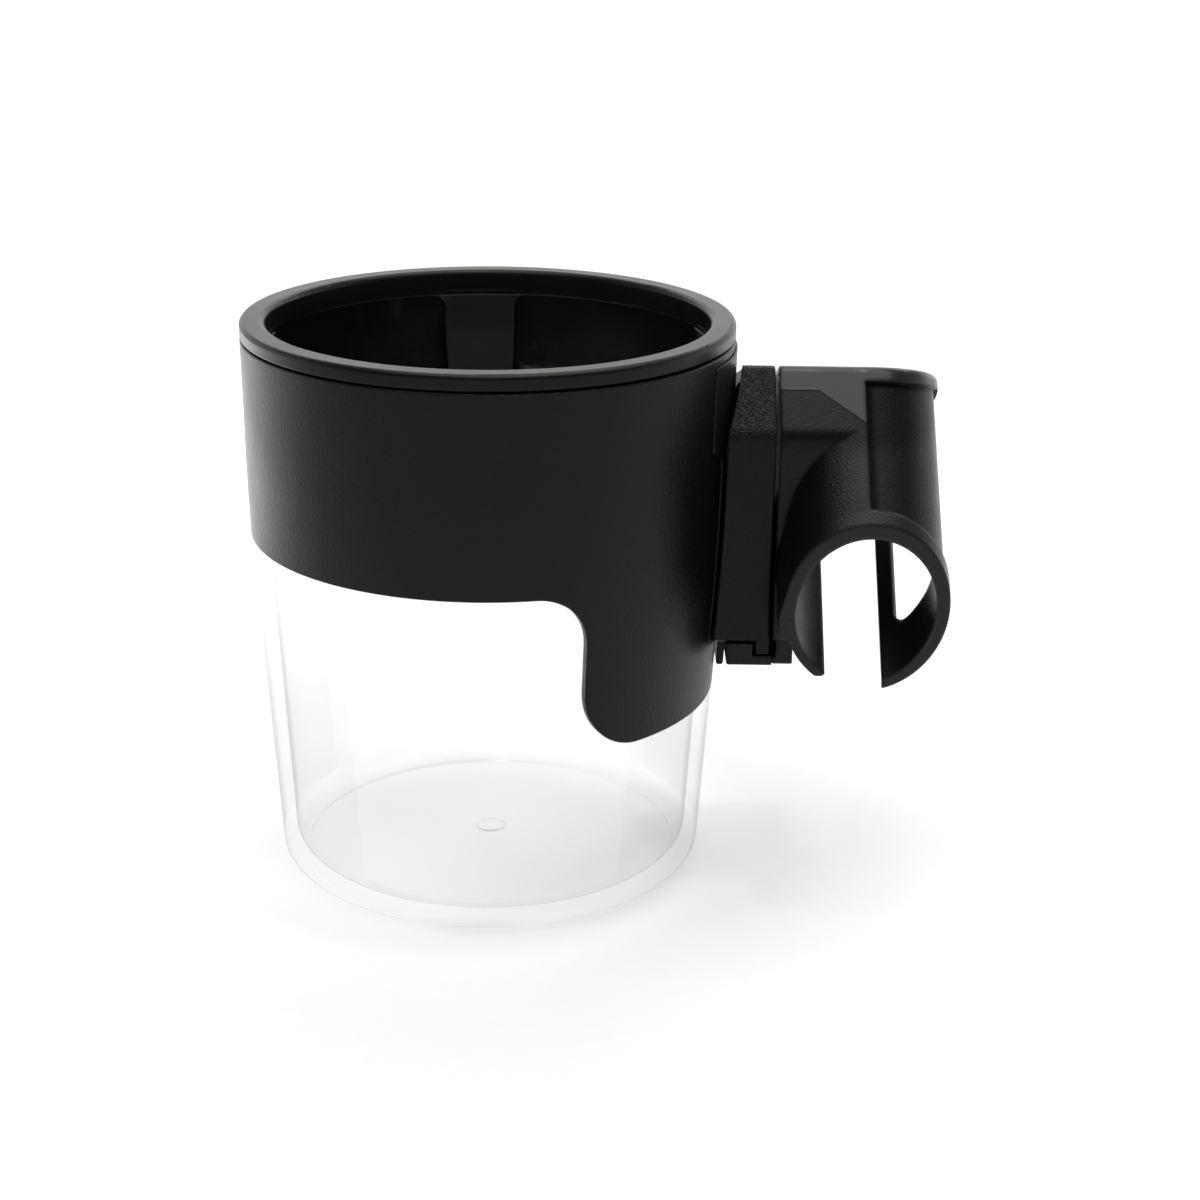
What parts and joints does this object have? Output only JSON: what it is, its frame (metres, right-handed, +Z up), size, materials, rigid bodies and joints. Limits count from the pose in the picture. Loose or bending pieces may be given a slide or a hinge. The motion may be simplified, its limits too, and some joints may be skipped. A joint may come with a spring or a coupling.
{
  "type": "clip-on cup holder",
  "caption": "Clear tapered cup in a black collar with a lift-out rim ring and grip tongues, and a C-shaped tube clip that slides out of a side receiver.",
  "frame": {"origin": "on the cup's axis, in the plane that the cup's base stands on", "axes": "+Z up along the cup's axis, +X from the cup to the clip, -Y to the front"},
  "size_m": [0.1427, 0.1, 0.1167],
  "materials": {
    "clear_plastic": "clear moulded plastic, glossy",
    "black_satin": "black plastic, fine satin texture",
    "black_tongue": "black plastic, satin",
    "black_grained": "black plastic, coarse sparkling grain",
    "black_semigloss": "black plastic, semi-gloss with a grained crown",
    "screw_steel": "plated steel self-tapping screw",
    "pin_steel": "drawn steel pin",
    "spring_steel": "spring wire"
  },
  "bodies": {
    "holder": {"clear_cup": "clear_plastic", "collar": "black_satin", "saddle_plate": "black_satin", "receiver_block": "black_grained", "receiver_screws": "screw_steel", "lever_pin": "pin_steel"},
    "rim": {"rim_ring": "black_satin"},
    "tongue_back": {"grip_tongue_back": "black_tongue"},
    "tongue_left": {"grip_tongue_left": "black_tongue"},
    "tongue_front": {"grip_tongue_front": "black_tongue"},
    "tongue_right": {"grip_tongue_right": "black_tongue"},
    "lever": {"release_lever": "black_grained", "latch_spring": "spring_steel"},
    "clip": {"clip_body": "black_semigloss", "slide_rail": "black_semigloss", "rail_screws": "screw_steel"}
  },
  "joints": [
    {"name": "rim_lift", "type": "slide", "parent": "holder", "child": "rim", "axis": [0, 0, 1], "range_m": [0, 0.05]},
    {"name": "tongue_back_hinge", "type": "hinge", "parent": "rim", "child": "tongue_back", "pos_m": [-0.00447, 0.04478, 0.1087], "axis": [-0.9951, -0.0993, 0], "range_deg": [-8, 0], "stiffness_Nm_per_rad": 0.08},
    {"name": "tongue_left_hinge", "type": "hinge", "parent": "rim", "child": "tongue_left", "pos_m": [-0.04478, -0.00447, 0.1087], "axis": [0.0993, -0.9951, 0], "range_deg": [-8, 0], "stiffness_Nm_per_rad": 0.08},
    {"name": "tongue_front_hinge", "type": "hinge", "parent": "rim", "child": "tongue_front", "pos_m": [0.00447, -0.04478, 0.1087], "axis": [0.9951, 0.0993, 0], "range_deg": [-8, 0], "stiffness_Nm_per_rad": 0.08},
    {"name": "tongue_right_hinge", "type": "hinge", "parent": "rim", "child": "tongue_right", "pos_m": [0.04478, 0.00447, 0.1087], "axis": [-0.0993, 0.9951, 0], "range_deg": [-8, 0], "stiffness_Nm_per_rad": 0.08},
    {"name": "lever_press", "type": "hinge", "parent": "holder", "child": "lever", "pos_m": [0.05141, 0, 0.086], "axis": [0, 1, 0], "range_deg": [0, 1.5], "stiffness_Nm_per_rad": 2},
    {"name": "clip_slide", "type": "slide", "parent": "holder", "child": "clip", "axis": [0, 0, -1], "range_m": [0, 0.045]}
  ]
}
